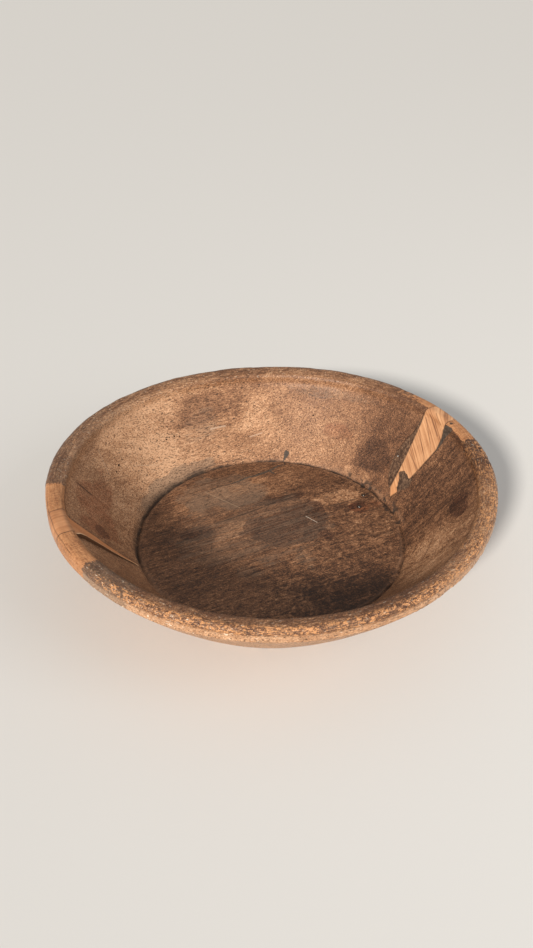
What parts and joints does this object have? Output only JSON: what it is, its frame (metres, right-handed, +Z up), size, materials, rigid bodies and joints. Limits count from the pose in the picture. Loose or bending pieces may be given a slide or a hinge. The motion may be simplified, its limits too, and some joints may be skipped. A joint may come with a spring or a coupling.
{
  "type": "carved wooden bowl",
  "caption": "Wide round carved wooden bowl with a flat floor, flared walls and a thick worn rim, mended with inlaid wedges of newer wood and dark filler.",
  "frame": {"origin": "middle of the foot, on the surface that the bowl stands on", "axes": "+Z up through the mouth; the right wedge lies towards +X and +Y, the left wedge towards -X and -Y"},
  "size_m": [0.48, 0.48, 0.108],
  "materials": {
    "old_wood": "worn and oiled, with a grained, stained and pitted surface",
    "right_wedge_wood": "newer wood, planed and sanded, with straight dark grain streaks",
    "left_wedge_wood": "newer wood, sanded and lightly oiled",
    "dark_filler": "matt dark grey-brown filler, slightly granular",
    "pin_metal": "dull steel pin heads"
  },
  "bodies": {
    "root": {"bowl_body": "old_wood", "right_wedge": "right_wedge_wood", "left_wedge": "left_wedge_wood", "seam_filler": "dark_filler", "tip_filler": "dark_filler", "rim_filler": "dark_filler", "rim_plug": "dark_filler", "floor_crack_filler": "dark_filler", "wall_crack_filler": "dark_filler", "fixing_pins": "pin_metal"}
  },
  "joints": []
}
